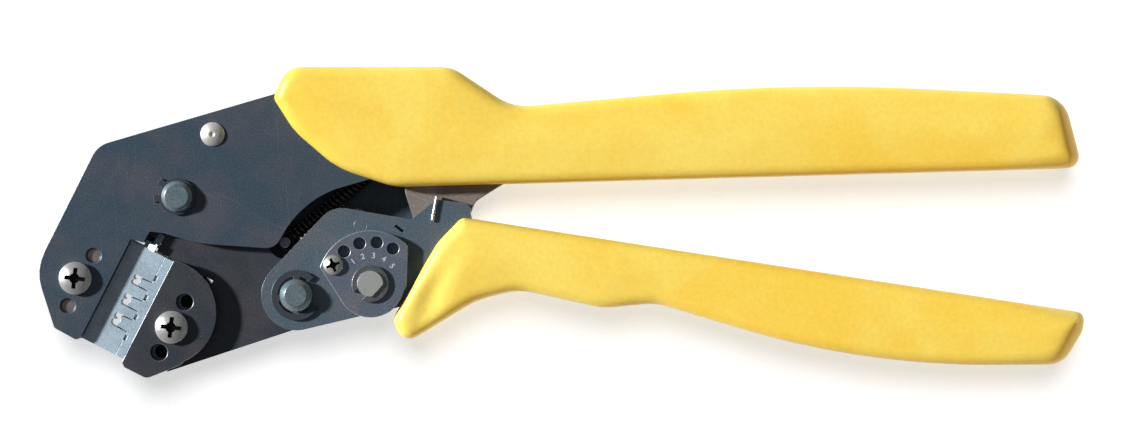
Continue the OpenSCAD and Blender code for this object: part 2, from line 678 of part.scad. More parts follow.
module lower_grip() color(GRIP_YELLOW) difference() {
    sleeve([[-23, 1, 1.5], [120.5, -21, 1.8], [120.2, -25, 6], [115.3, -32.9, 6],
        [69, -33, 200], [21.5, -18.7, 14], [9.5, -19.9, 18], [-9.8, -15.6, 14],
        [-19.5, -18, 22], [-36.3, -28.3, 3.2], [-39, -22.5, 3.6], [-28.6, -4.8, 12]]);
    layer(rear_z - play, top_z - rear_z + 2 * play) offset(delta = play) handle_outline(true);
    layer(core_z, core_gap) offset(delta = 0.5) anchor_outline();
    for (p = lower_rivets_at) bore(p, tang_rivet_d + 2.4, rear_z - 0.8, top_z - rear_z + 1.6);
}

frame_front_plate();
frame_rear_plate();
front_anchor_plate();
rear_anchor_plate();
anchor_pin();
upper_handle_spacer();
upper_handle_rivets();
upper_grip();
jaw_pivot_pin();
jaw_pivot_clips();
frame_rivet();
frame_spring_post();
fixed_die();
fixed_die_screw();
fixed_die_dowels();
moving_jaw();
jaw_front_cheek();
jaw_rear_cheek();
moving_die();
moving_die_screw();
moving_die_dowels();
jaw_spring_post();
return_spring();
handle_front_plate();
handle_rear_plate();
lower_handle_spacer();
lower_handle_rivets();
lower_grip();
handle_pivot_pin();
handle_pivot_clips();
spring_hook();
toggle_link();
pawl();
pawl_rivet();
pawl_spring();
adjuster_pin();
adjuster_plate();
adjuster_lock_screw();
adjuster_snap_ring();
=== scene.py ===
# %% [markdown]
# # A ratcheting crimping tool, finished in Blender
# The tool lies closed on its two yellow grips. Its steel plates, pins, dies and springs come from
# the CAD model as a fixed frame, in metres. This lesson gives each of them a worked finish, and it
# builds again the pieces that CAD only roughs out: the two moulded grips and the return spring.

import json
import math

import bmesh
import bpy
import numpy as np
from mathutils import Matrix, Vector

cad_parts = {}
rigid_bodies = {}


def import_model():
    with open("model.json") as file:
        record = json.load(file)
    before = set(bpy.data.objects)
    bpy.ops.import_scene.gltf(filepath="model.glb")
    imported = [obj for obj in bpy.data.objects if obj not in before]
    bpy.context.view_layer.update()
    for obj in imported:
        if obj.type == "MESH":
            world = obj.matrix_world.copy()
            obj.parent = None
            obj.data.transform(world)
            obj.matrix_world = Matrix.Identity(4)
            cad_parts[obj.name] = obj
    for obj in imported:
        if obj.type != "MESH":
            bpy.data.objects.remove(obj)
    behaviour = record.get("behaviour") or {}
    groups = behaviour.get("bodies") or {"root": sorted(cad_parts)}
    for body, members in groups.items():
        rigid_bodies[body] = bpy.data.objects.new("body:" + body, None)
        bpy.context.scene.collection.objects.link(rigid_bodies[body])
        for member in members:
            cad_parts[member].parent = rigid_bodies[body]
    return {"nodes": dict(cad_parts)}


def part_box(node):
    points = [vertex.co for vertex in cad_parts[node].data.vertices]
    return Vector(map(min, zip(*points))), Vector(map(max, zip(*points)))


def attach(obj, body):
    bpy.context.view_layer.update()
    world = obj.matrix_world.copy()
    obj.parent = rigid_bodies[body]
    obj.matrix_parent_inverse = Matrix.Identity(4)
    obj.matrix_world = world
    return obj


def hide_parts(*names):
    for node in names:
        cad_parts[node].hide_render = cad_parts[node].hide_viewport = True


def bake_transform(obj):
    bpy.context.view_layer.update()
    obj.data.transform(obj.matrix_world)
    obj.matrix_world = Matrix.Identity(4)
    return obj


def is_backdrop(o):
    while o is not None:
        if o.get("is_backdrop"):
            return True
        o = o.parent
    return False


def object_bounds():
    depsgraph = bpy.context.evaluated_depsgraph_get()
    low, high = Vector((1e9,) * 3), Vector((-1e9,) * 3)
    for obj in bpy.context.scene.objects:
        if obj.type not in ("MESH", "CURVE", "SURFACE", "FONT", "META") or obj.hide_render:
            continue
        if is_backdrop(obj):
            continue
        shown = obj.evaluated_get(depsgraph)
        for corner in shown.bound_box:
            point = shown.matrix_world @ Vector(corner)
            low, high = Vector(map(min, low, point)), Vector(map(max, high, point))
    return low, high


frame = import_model()
cad_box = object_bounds()
nodes = frame["nodes"]
print("CAD nodes:", len(nodes), "box:", [[round(c, 4) for c in corner] for corner in cad_box])

# %% [markdown]
# ## Measures
# Every piece below goes where the frame says. A pin's box gives its centre, and the plates' boxes
# give the height of each layer, so nothing is placed by eye.

# %% Places taken from the frame
MM = 0.001


def centre(node):
    low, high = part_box(node)
    return (low + high) / 2


plate_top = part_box("frame_front_plate")[1].z
grip_low, grip_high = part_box("upper_grip")
grip_mid = (grip_low.z + grip_high.z) / 2
jaw_post = centre("jaw_spring_post")
frame_post = centre("frame_spring_post")
adjuster = centre("adjuster_snap_ring")
print("plates end at", round(plate_top, 4), "and the grips at", round(grip_high.z, 4))

# %% [markdown]
# ## Shader nodes by hand
# A finish is a small tree of nodes. Two helpers keep it readable: one adds a node and fills or
# links its inputs, the other starts a node group with named inputs and outputs.

# %% Helpers for node trees


def add(tree, kind, inputs=None, **settings):
    prefix = "" if kind.startswith("NodeGroup") else "ShaderNode"
    made = tree.nodes.new(prefix + kind)
    for name, value in settings.items():
        setattr(made, name, value)
    for socket, value in (inputs or {}).items():
        if isinstance(value, bpy.types.NodeSocket):
            tree.links.new(value, made.inputs[socket])
        else:
            made.inputs[socket].default_value = value
    return made


def start_group(name, inputs, outputs):
    group = bpy.data.node_groups.new(name, "ShaderNodeTree")
    for label, kind, value in inputs:
        socket = group.interface.new_socket(
            name=label, in_out="INPUT", socket_type="NodeSocket" + kind)
        socket.default_value = value
    for label, kind in outputs:
        group.interface.new_socket(name=label, in_out="OUTPUT", socket_type="NodeSocket" + kind)
    return group, add(group, "NodeGroupInput").outputs, add(group, "NodeGroupOutput").inputs


def remap(tree, value, low, high, to_low=0.0, to_high=1.0):
    """A mask: value from low to high becomes to_low to to_high, and is clamped beyond."""
    return add(tree, "MapRange", {"Value": value, "From Min": low, "From Max": high,
                                  "To Min": to_low, "To Max": to_high}).outputs["Result"]


def maths(tree, operation, a, b=0.0):
    return add(tree, "Math", {0: a, 1: b}, operation=operation).outputs[0]


def mix(tree, factor, a, b, blend="MIX"):
    """Colour a turning into colour b."""
    return add(tree, "Mix", {"Factor": factor, 6: a, 7: b},
               data_type="RGBA", blend_type=blend).outputs[2]


# %% [markdown]
# ## Effects that several finishes share
# Blackened steel is never one colour: the coat pools in bluish and brownish patches, and its grain
# is as fine as sandpaper. One group makes the patches and the grain, another long hairline
# scratches, a third the loose bright specks of bare metal and dust, a fourth the rings that a
# lathe leaves, and a fifth a painted shade, near black, in a screw's cross where the recess lies
# in shadow. They only put out colours and masks, so each finish decides what to do with them.

# %% The shared groups


def build_mottle():
    group, given, out = start_group(
        "Mottled coat",
        [("Coat", "Color", (0.06, 0.08, 0.1, 1)), ("Patch", "Color", (0.1, 0.07, 0.08, 1)),
         ("Patch Scale", "Float", 90.0), ("Grain Scale", "Float", 2600.0),
         ("Grain", "Float", 0.3)],
        [("Colour", "Color"), ("Patches", "Float"), ("Grain", "Float")])
    place = add(group, "TexCoord").outputs["Object"]
    large = add(group, "TexNoise", {"Vector": place, "Scale": given["Patch Scale"], "Detail": 5.0,
                                    "Roughness": 0.62, "Distortion": 0.6}).outputs[0]
    patches = remap(group, large, 0.4, 0.64)
    fine = add(group, "TexNoise", {"Vector": place, "Scale": given["Grain Scale"], "Detail": 2.0,
                                   "Roughness": 0.7}).outputs[0]
    grain = remap(group, fine, 0.3, 0.7)
    shade = maths(group, "ADD", maths(group, "MULTIPLY", maths(group, "SUBTRACT", grain, 0.5),
                                      given["Grain"]), 1.0)
    grey = add(group, "CombineColor", {0: shade, 1: shade, 2: shade}).outputs[0]
    colour = mix(group, patches, given["Coat"], given["Patch"])
    group.links.new(mix(group, 1.0, colour, grey, "MULTIPLY"), out["Colour"])
    group.links.new(patches, out["Patches"])
    group.links.new(grain, out["Grain"])
    return group


def build_scratches():
    group, given, out = start_group(
        "Hairline scratches",
        [("Scale", "Float", 60.0), ("Amount", "Float", 1.0), ("Turn", "Float", 0.4)],
        [("Mask", "Float")])
    place = add(group, "TexCoord").outputs["Object"]
    masks = []
    for extra in (0.0, 1.1):
        turn = add(group, "CombineXYZ", {"Z": maths(group, "ADD", given["Turn"], extra)}).outputs[0]
        turned = add(group, "Mapping", {"Vector": place, "Rotation": turn}).outputs[0]
        drawn = add(group, "Mapping", {"Vector": turned, "Scale": (1, 34, 34)}).outputs[0]
        noise = add(group, "TexNoise", {"Vector": drawn, "Scale": given["Scale"], "Detail": 3.0,
                                        "Roughness": 0.55}).outputs[0]
        masks.append(remap(group, noise, 0.64, 0.7))
    both = maths(group, "MAXIMUM", *masks)
    group.links.new(maths(group, "MULTIPLY", both, given["Amount"]), out["Mask"])
    return group


def build_specks():
    group, given, out = start_group(
        "Loose specks", [("Scale", "Float", 700.0), ("Share", "Float", 0.15)], [("Mask", "Float")])
    place = add(group, "TexCoord").outputs["Object"]
    cells = add(group, "TexVoronoi", {"Vector": place, "Scale": given["Scale"]})
    dot = remap(group, cells.outputs["Distance"], 0.16, 0.3, 1.0, 0.0)
    pick = add(group, "SeparateColor", {0: cells.outputs["Color"]}).outputs[0]
    chosen = maths(group, "LESS_THAN", pick, given["Share"])
    group.links.new(maths(group, "MULTIPLY", dot, chosen), out["Mask"])
    return group


def flat_distance(tree, place, middle):
    """How far a place is from an upright axis through the middle."""
    offset = add(tree, "VectorMath", {0: place, 1: middle}, operation="SUBTRACT").outputs[0]
    flat = add(tree, "VectorMath", {0: offset, 1: (1, 1, 0)}, operation="MULTIPLY").outputs[0]
    return add(tree, "VectorMath", {0: flat}, operation="LENGTH").outputs["Value"]


def build_rings():
    group, given, out = start_group(
        "Turned rings", [("Centre", "Vector", (0, 0, 0)), ("Pitch", "Float", 9000.0)],
        [("Height", "Float")])
    place = add(group, "TexCoord").outputs["Object"]
    radius = flat_distance(group, place, given["Centre"])
    wave = maths(group, "SINE", maths(group, "MULTIPLY", radius, given["Pitch"]))
    group.links.new(remap(group, wave, -1.0, 1.0), out["Height"])
    return group


# Painted shade: a mask for the inside of a screw's recess, below a level, which a finish turns near
# black.
def build_recess_shade():
    group, given, out = start_group(
        "Painted shade in a recess", [("Centre", "Vector", (0, 0, 0)), ("Radius", "Float", 0.0025),
                              ("Level", "Float", 0.0)], [("Mask", "Float")])
    place = add(group, "TexCoord").outputs["Object"]
    radius = flat_distance(group, place, given["Centre"])
    height = add(group, "SeparateXYZ", {0: place}).outputs[2]
    inside = maths(group, "LESS_THAN", radius, given["Radius"])
    below = maths(group, "LESS_THAN", height, given["Level"])
    group.links.new(maths(group, "MULTIPLY", inside, below), out["Mask"])
    return group


mottle, scratches = build_mottle(), build_scratches()
specks, rings, recess_shade_group = build_specks(), build_rings(), build_recess_shade()
print("shared groups:", [g.name for g in bpy.data.node_groups])

# %% Helpers that start and close a material


def use(tree, group, inputs=None):
    made = add(tree, "Group", node_tree=group)
    for socket, value in (inputs or {}).items():
        made.inputs[socket].default_value = value
    return made.outputs


def start_material(name, **constants):
    """A new material: its tree and its Principled shader, with plain values already set."""
    material = bpy.data.materials.new(name)
    material.use_nodes = True
    tree = material.node_tree
    tree.nodes.clear()
    shader = add(tree, "BsdfPrincipled", {k.replace("_", " "): v for k, v in constants.items()})
    ending = add(tree, "OutputMaterial")
    tree.links.new(shader.outputs[0], ending.inputs[0])
    return material, tree, shader.inputs


def bump(tree, shader, height, depth, strength=1.0):
    made = add(tree, "Bump", {"Height": height, "Distance": depth, "Strength": strength})
    tree.links.new(made.outputs[0], shader["Normal"])


# %% [markdown]
# ## Blackened steel
# The plates are stamped from sheet and blackened: a dark blue-grey coat with brown patches, a soft
# sheen, and pale hairlines where parts rub. The coat is thin, so the shader is half metal.

# %% Blackened steel and the bare metal of its worn edges


def coated_steel(name, coat, patch, shine, metal=0.5, patch_scale=90.0, grain=0.55, wear=0.1):
    material, tree, shader = start_material(name, Metallic=metal)
    coat_out = use(tree, mottle, {"Coat": coat + (1,), "Patch": patch + (1,),
                                  "Patch Scale": patch_scale, "Grain": grain})
    line = use(tree, scratches, {"Amount": wear})["Mask"]
    speck = maths(tree, "MULTIPLY", use(tree, specks, {"Share": 0.07})["Mask"], wear)
    marks = maths(tree, "MAXIMUM", line, speck)
    bare = tuple(min(1.0, 2.6 * c + 0.05) for c in coat) + (1,)
    tree.links.new(mix(tree, marks, coat_out["Colour"], bare), shader["Base Color"])
    rough = remap(tree, coat_out["Patches"], 0.0, 1.0, shine, shine + 0.12)
    tree.links.new(maths(tree, "SUBTRACT", rough, maths(tree, "MULTIPLY", marks, 0.1)),
                   shader["Roughness"])
    height = maths(tree, "SUBTRACT", coat_out["Grain"], marks)
    bump(tree, shader, height, 0.02 * MM)
    return material


def worn_edge(name, coat, bare, share):
    """The narrow chamfer of an edge, where handling has rubbed the coat off in places."""
    material, tree, shader = start_material(name, Metallic=0.7)
    place = add(tree, "TexCoord").outputs["Object"]
    noise = add(tree, "TexNoise", {"Vector": place, "Scale": 420.0, "Detail": 4.0,
                                   "Roughness": 0.65}).outputs[0]
    rubbed = remap(tree, noise, 0.62 - share / 2, 0.78 - share / 2)
    tree.links.new(mix(tree, rubbed, coat + (1,), bare + (1,)), shader["Base Color"])
    tree.links.new(remap(tree, rubbed, 0.0, 1.0, 0.45, 0.28), shader["Roughness"])
    bump(tree, shader, noise, 0.01 * MM)
    return material


BLUE, BROWN = (0.066, 0.106, 0.145), (0.088, 0.098, 0.122)
BARE = (0.62, 0.65, 0.66)
plate_finish = coated_steel("blackened_plate", BLUE, BROWN, 0.4)
jaw_finish = coated_steel("blackened_jaw", (0.056, 0.07, 0.086), (0.07, 0.068, 0.078), 0.38)
handle_finish = coated_steel("blackened_handle", (0.118, 0.176, 0.222), (0.14, 0.158, 0.186), 0.38)
core_finish = coated_steel("blackened_core", (0.05, 0.055, 0.062), (0.075, 0.058, 0.058), 0.45)
# The anchor plates are warm brown. Their colour is also lightened well past the other plates:
# painted light that makes up for the shadow the grips cast on them.
anchor_tone_and_painted_light = coated_steel("browned_anchor_painted_light", (0.3, 0.25, 0.22), (0.26, 0.22, 0.2), 0.45)
dial_finish = coated_steel("blackened_dial", (0.16, 0.2, 0.26), (0.19, 0.19, 0.22), 0.34)
pin_finish = coated_steel("pin_steel", (0.17, 0.26, 0.29), (0.21, 0.25, 0.27), 0.28, 0.5, 260.0)
plate_edge = worn_edge("plate_edge", BLUE, (0.3, 0.33, 0.35), 0.6)
handle_edge = worn_edge("handle_edge", (0.2, 0.22, 0.24), BARE, 1.0)
print("steel finishes made:", [m.name for m in bpy.data.materials])

# %% [markdown]
# ## Ground and plated steel
# The dies are ground, so their faces are pale and streaked one way. Screws, rivets and clips are
# plated and brighter, and the lathe's rings show on their ends.

# %% Ground dies and bright fasteners


def ground_steel(name, tone, shine, metal=0.25):
    material, tree, shader = start_material(name, Metallic=metal)
    coat_out = use(tree, mottle, {"Coat": tone + (1,), "Patch": tuple(0.8 * c for c in tone) + (1,),
                                  "Patch Scale": 160.0, "Grain": 0.35})
    line = use(tree, scratches, {"Scale": 150.0, "Amount": 0.8, "Turn": -0.47})["Mask"]
    dark = tuple(0.45 * c for c in tone) + (1,)
    streaked = mix(tree, maths(tree, "MULTIPLY", line, 0.5), coat_out["Colour"], dark)
    tree.links.new(streaked, shader["Base Color"])
    tree.links.new(remap(tree, coat_out["Grain"], 0.0, 1.0, shine, shine + 0.15),
                   shader["Roughness"])
    bump(tree, shader, maths(tree, "SUBTRACT", coat_out["Grain"], line), 0.012 * MM)
    return material


def plated_steel(name, tone, shine, middle=None, metal=0.9, recess=None):
    """Bright plating, with a lathe's rings round a middle and painted shade, near black, in a
    recess (radius, level).
    """
    material, tree, shader = start_material(name, Metallic=metal)
    patch = tuple(0.78 * c for c in tone) + (1,)
    coat_out = use(tree, mottle, {"Coat": tone + (1,), "Patch": patch, "Patch Scale": 500.0,
                                  "Grain Scale": 4200.0, "Grain": 0.2})
    speck = use(tree, specks, {"Scale": 1500.0, "Share": 0.1})["Mask"]
    grime = tuple(0.4 * c for c in tone) + (1,)
    spotted = mix(tree, maths(tree, "MULTIPLY", speck, 0.6), coat_out["Colour"], grime)
    # The recess is coloured near black below the given level: painted shade for a hollow that lies
    # in shadow.
    if recess:
        painted_recess_shade = use(tree, recess_shade_group, {"Centre": tuple(middle), "Radius": recess[0],
                                     "Level": recess[1]})["Mask"]
        spotted = mix(tree, painted_recess_shade, spotted, (0.012, 0.01, 0.01, 1))
    tree.links.new(spotted, shader["Base Color"])
    tree.links.new(remap(tree, coat_out["Patches"], 0.0, 1.0, shine, shine + 0.14),
                   shader["Roughness"])
    height = coat_out["Grain"]
    if middle is not None:
        ring = use(tree, rings, {"Centre": tuple(middle)})["Height"]
        height = maths(tree, "ADD", height, ring)
    bump(tree, shader, height, 0.008 * MM)
    return material


die_finish = ground_steel("ground_die", (0.5, 0.63, 0.73), 0.32)
# Each screw gets its own plating, with painted shade in its cross below a depth under the head's
# top.
for screw, radius, deep in (("fixed_die_screw", 2.5, 0.65), ("moving_die_screw", 2.5, 0.65),
                            ("adjuster_lock_screw", 1.65, 0.45)):
    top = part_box(screw)[1].z
    nodes[screw].material_slots[0].material = plated_steel(
        screw + "_plating", (0.8, 0.81, 0.78), 0.24, centre(screw), 0.75,
        (radius * MM, top - deep * MM))
rivet_finish = plated_steel("plated_rivet", (0.86, 0.85, 0.79), 0.34, centre("frame_rivet"), 0.6)
adjuster_pin_finish = plated_steel("turned_pin", (0.78, 0.8, 0.76), 0.3, adjuster, 0.75)
ring_finish = plated_steel("ring_steel", (0.3, 0.31, 0.33), 0.3)
clip_finish = plated_steel("clip_steel", (0.085, 0.1, 0.12), 0.34, metal=0.6)
# The moving die's dowels sit at the bottom of deep bores, so they are coloured near black: painted
# shade for the holes, not the dowels' own colour.
painted_shade_dowel_finish = plated_steel("painted_shade_in_dowel_hole", (0.03, 0.026, 0.026), 0.5, metal=0.4)
dowel_finish = plated_steel("dowel_steel", (0.5, 0.4, 0.39), 0.3)
wire_finish = plated_steel("bright_wire", (0.7, 0.7, 0.68), 0.25)
spring_finish = coated_steel(
    "spring_steel", (0.05, 0.045, 0.045), (0.085, 0.07, 0.06), 0.3, 0.7, 400.0)
print("materials so far:", len(bpy.data.materials))

# %% [markdown]
# ## Steel pieces and their edges
# A stamped edge is never knife sharp, and light caught on its tiny chamfer is what makes steel look
# like steel. The CAD meshes stay as they are: modifiers weld them, melt flat triangles together and
# chamfer every sharp edge, and the chamfer takes a second material for the worn metal.

# %% Finish the CAD nodes


def finish(names, surface, edge=None, chamfer=0.2):
    for name in names:
        piece = nodes[name]
        piece.material_slots[0].material = surface
        if chamfer == 0:
            continue
        weld = piece.modifiers.new("weld", "WELD")
        weld.merge_threshold = 0.001 * MM
        melt = piece.modifiers.new("melt", "DECIMATE")
        melt.decimate_type = "DISSOLVE"
        melt.angle_limit = math.radians(0.5)
        cut = piece.modifiers.new("chamfer", "BEVEL")
        cut.width = chamfer * MM
        cut.segments = 2
        cut.limit_method = "ANGLE"
        cut.angle_limit = math.radians(35)
        cut.use_clamp_overlap = True
        if edge:
            piece.data.materials.append(edge)
            cut.material = 1
        even = piece.modifiers.new("even", "WEIGHTED_NORMAL")
        even.keep_sharp = True


finish(["frame_front_plate", "frame_rear_plate"], plate_finish, plate_edge, 0.2)
finish(["handle_front_plate", "handle_rear_plate"], handle_finish, handle_edge, 0.34)
finish(["jaw_front_cheek", "jaw_rear_cheek", "moving_jaw"], jaw_finish, plate_edge, 0.15)
# The anchor plates take the brown tone with its painted light.
finish(["front_anchor_plate", "rear_anchor_plate"], anchor_tone_and_painted_light, plate_edge, 0.2)
finish(["toggle_link"], core_finish, plate_edge, 0.2)
finish(["upper_handle_spacer", "lower_handle_spacer"], core_finish, plate_edge, 0.2)
finish(["adjuster_plate"], dial_finish, handle_edge, 0.3)
finish(["fixed_die", "moving_die"], die_finish, None, 0.12)
finish(["jaw_pivot_pin", "handle_pivot_pin"], pin_finish, plate_edge, 0.15)
finish(["jaw_pivot_clips", "handle_pivot_clips"], clip_finish, None, 0.1)
finish(["adjuster_snap_ring"], ring_finish, None, 0.1)
finish(["frame_rivet"], rivet_finish, None, 0.1)
finish(["upper_handle_rivets", "lower_handle_rivets", "anchor_pin"], rivet_finish)
finish(["pawl_rivet"], handle_finish, plate_edge, 0.1)
finish(["adjuster_pin"], adjuster_pin_finish, None, 0.2)
finish(["fixed_die_dowels"], dowel_finish, None, 0.1)
# The moving die's dowels take the near-black painted shade of their holes.
finish(["moving_die_dowels"], painted_shade_dowel_finish, None, 0.1)
finish(["frame_spring_post", "jaw_spring_post", "pawl"], ring_finish, None, 0.1)
finish(["spring_hook"], wire_finish, None, 0)
finish(["pawl_spring"], spring_finish, None, 0)
print("finished", sum(1 for n in nodes.values() if n.modifiers), "nodes with worked edges")

# %% [markdown]
# ## Moulded grips
# Each grip is one moulding of satin yellow plastic: thick, flat enough to lie on, and rounded all
# round so that it fills the hand. It is made from its outline. The outline is extruded and
# remeshed into an even skin, and then every point is moved on to the rounded shape, which is known
# from how far the point is inside the outline. The last step cuts the pocket for the steel.

# %% Outlines from corners


def rounded(corners):
    """An outline in metres from corners [x, y, radius] in millimetres."""
    points = []
    for i, (x, y, r) in enumerate(corners):
        corner = Vector((x, y))
        a = (Vector(corners[i - 1][:2]) - corner).normalized()
        b = (Vector(corners[(i + 1) % len(corners)][:2]) - corner).normalized()
        if r == 0:
            points.append(corner * MM)
            continue
        half = a.angle(b) / 2
        middle = corner + (a + b).normalized() * r / math.sin(half)
        start = corner + a * r / math.tan(half) - middle
        end = corner + b * r / math.tan(half) - middle
        sweep = math.atan2(start.x * end.y - start.y * end.x, start.dot(end))
        steps = max(3, math.ceil(abs(sweep) * r / 0.8))
        for step in range(steps + 1):
            turn = sweep * step / steps
            spoke = Vector((start.x * math.cos(turn) - start.y * math.sin(turn),
                            start.x * math.sin(turn) + start.y * math.cos(turn)))
            points.append((middle + spoke) * MM)
    return np.array([tuple(p) for p in points])


def inward(points, outline):
    """How far each point is inside the outline, and the direction that leads further in."""
    start, edge = outline, np.roll(outline, -1, 0) - outline
    reach = points[:, None] - start[None]
    along = np.clip((reach * edge).sum(2) / (edge ** 2).sum(1), 0, 1)
    gap = reach - along[..., None] * edge
    nearest = (gap ** 2).sum(2).argmin(1)
    away = gap[np.arange(len(points)), nearest]
    x, y = points[:, :1], points[:, 1:]
    x0, y0, y1 = start[:, 0], start[:, 1], start[:, 1] + edge[:, 1]
    level = np.where(edge[:, 1] == 0, 1e-12, edge[:, 1])
    crossed = ((y0 > y) != (y1 > y)) & (x < edge[:, 0] * (y - y0) / level + x0)
    sign = np.where(crossed.sum(1) % 2 == 1, 1.0, -1.0)
    distance = np.sqrt((away ** 2).sum(1))
    normal = np.stack([-edge[:, 1], edge[:, 0]], 1)[nearest]
    area = (start[:, 0] * np.roll(start[:, 1], -1) - np.roll(start[:, 0], -1) * start[:, 1]).sum()
    normal = normal / np.linalg.norm(normal, axis=1)[:, None] * np.sign(area)
    safe = np.maximum(distance, 1e-9)[:, None]
    direction = np.where(distance[:, None] > 1e-5, sign[:, None] * away / safe, normal)
    return sign * distance, direction


def prism(name, outline, z0, z1):
    mesh = bpy.data.meshes.new(name)
    form = bmesh.new()
    base = form.faces.new([form.verts.new((x, y, z0)) for x, y in outline])
    top = bmesh.ops.extrude_face_region(form, geom=[base])["geom"]
    bmesh.ops.translate(form, vec=(0, 0, z1 - z0),
                        verts=[g for g in top if isinstance(g, bmesh.types.BMVert)])
    bmesh.ops.recalc_face_normals(form, faces=form.faces)
    form.to_mesh(mesh)
    form.free()
    piece = bpy.data.objects.new(name, mesh)
    bpy.context.scene.collection.objects.link(piece)
    return piece


# %% The two outlines and their pockets
UPPER = [[-66.3, 28.4, 1.4], [-63.4, 35.6, 5.6], [-25.3, 35.6, 9], [-11.3, 26.3, 12],
         [53.3, 32, 430], [115.6, 28.9, 7], [120, 12.4, 2.8], [-38.5, 8, 14],
         [-51.5, 12.2, 22], [-61.5, 20.8, 18]]
LOWER = [[-23, 1, 1.5], [120.5, -21, 1.8], [120.2, -25, 6], [115.3, -32.9, 6], [69, -33, 200],
         [21.5, -18.7, 14], [9.5, -19.9, 18], [-9.8, -15.6, 14], [-19.5, -18, 22],
         [-36.3, -28.3, 3.2], [-39, -22.5, 3.6], [-28.6, -4.8, 12]]
UPPER_POCKET = [[-80, 25.4, 0], [-58.5, 31.7, 0], [-30, 33, 0], [-30, 11, 0], [-38, 10.8, 5],
                [-44.2, 9.7, 3], [-60, -5, 0]]
LOWER_POCKET = [[-60, -25.1, 0], [-36, -19.4, 8], [-22, -13.5, 10], [-10, -14.4, 0],
                [-10, -3.7, 0], [-18.6, -2.4, 1], [-20.9, -2.1, 0], [-20.9, 6, 0], [-60, 6, 0]]
ANCHOR_SLOT = [[-38, 6, 0], [-19.6, 5, 0], [-22.3, -3, 3], [-22.3, -12, 0], [-38, -12, 0]]
tang_low, tang_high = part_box("frame_rear_plate")[0].z, plate_top
core_low, core_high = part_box("upper_handle_spacer")[0].z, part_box("upper_handle_spacer")[1].z

# %% Shape a grip
VOXEL = 0.85 * MM
EDGE_R, FAR_EXTRA_R = 2.5, 2.6
FAR_START, FAR_LENGTH = 0.098, 0.022
CROWN, CROWN_REACH = 0.55 * MM, 9 * MM

def evaluated_mesh(piece):
    graph = bpy.context.evaluated_depsgraph_get()
    return bpy.data.meshes.new_from_object(piece.evaluated_get(graph))


def apply_modifiers(piece):
    bpy.context.view_layer.update()
    fresh = evaluated_mesh(piece)
    piece.modifiers.clear()
    piece.data = fresh
    return piece


def shade(piece, crease=32):
    """Smooth shading, with edges kept sharp where faces meet at more than the crease angle."""
    form = bmesh.new()
    form.from_mesh(piece.data)
    for face in form.faces:
        face.smooth = True
    for edge in form.edges:
        edge.smooth = len(edge.link_faces) == 2 and edge.calc_face_angle(0) < math.radians(crease)
    form.to_mesh(piece.data)
    form.free()


def mould(name, corners, scoop, cutters):
    outline = rounded(corners)
    half = grip_high.z - grip_mid
    grip = prism(name, outline, grip_mid - half, grip_mid + half)
    skin = grip.modifiers.new("skin", "REMESH")
    skin.mode = "VOXEL"
    skin.voxel_size = VOXEL
    apply_modifiers(grip)
    co = np.empty(len(grip.data.vertices) * 3)
    grip.data.vertices.foreach_get("co", co)
    co = co.reshape(-1, 3)
    depth, direction = inward(co[:, :2], outline)
    height = co[:, 2] - grip_mid
    far = np.clip((co[:, 0] - FAR_START) / FAR_LENGTH, 0, 1)
    edge_r = (EDGE_R + FAR_EXTRA_R * far ** 2) * MM
    u, v = depth - edge_r, np.abs(height) - (half - edge_r)
    length = np.maximum(np.sqrt(u ** 2 + v ** 2), 1e-9)
    corner = (u < 0) & (v > 0)
    new_depth = np.where(corner, edge_r + u * edge_r / length, np.where(u < 0, 0, depth))
    new_height = np.where(corner, half - edge_r + v * edge_r / length,
                          np.where(u < 0, np.abs(height), half))
    inner = np.clip(new_depth / CROWN_REACH, 0, 1)
    crown = CROWN * (1 - inner * inner * (3 - 2 * inner)) * np.clip(v / edge_r + 1, 0, 1)
    new_height = new_height - crown - scoop(co[:, 0], co[:, 1]) * (v > -edge_r)
    co[:, :2] += direction * (new_depth - depth)[:, None]
    co[:, 2] = grip_mid + np.sign(height) * new_height
    grip.data.vertices.foreach_set("co", co.ravel())
    for pocket, z0, z1 in cutters:
        tool = prism(name + "_cutter", rounded(pocket), z0, z1)
        cut = grip.modifiers.new("pocket", "BOOLEAN")
        cut.operation = "DIFFERENCE"
        cut.solver = "EXACT"
        cut.object = tool
        apply_modifiers(grip)
        bpy.data.objects.remove(tool)
    shade(grip)
    print(name, "has", len(grip.data.polygons), "faces")
    return grip


def no_scoop(x, y):
    return np.zeros_like(x)


def finger_scoop(x, y):
    """A long shallow dish in the finger guard."""
    middle_x, middle_y, lean = -0.0299, -0.0175, 1.05
    long, wide, deep = 0.0065, 0.0024, 0.9 * MM
    u = (x - middle_x) * math.cos(lean) + (y - middle_y) * math.sin(lean)
    w = -(x - middle_x) * math.sin(lean) + (y - middle_y) * math.cos(lean)
    return deep * np.exp(-(u / long) ** 2 - (w / wide) ** 2)


play = 0.1 * MM
upper_grip = mould("upper_grip_moulding", UPPER, no_scoop,
                   [(UPPER_POCKET, tang_low - play, tang_high + play)])
lower_grip = mould("lower_grip_moulding", LOWER, finger_scoop,
                   [(LOWER_POCKET, tang_low - play, tang_high + play),
                    (ANCHOR_SLOT, core_low - play, core_high + play)])

# %% [markdown]
# ## Satin yellow plastic
# The moulding is warm yellow with a satin skin. Light goes a little way in, the skin has a very
# fine orange peel, and the halves of the mould leave a parting line around the middle.

# %% The plastic and the two grips in place


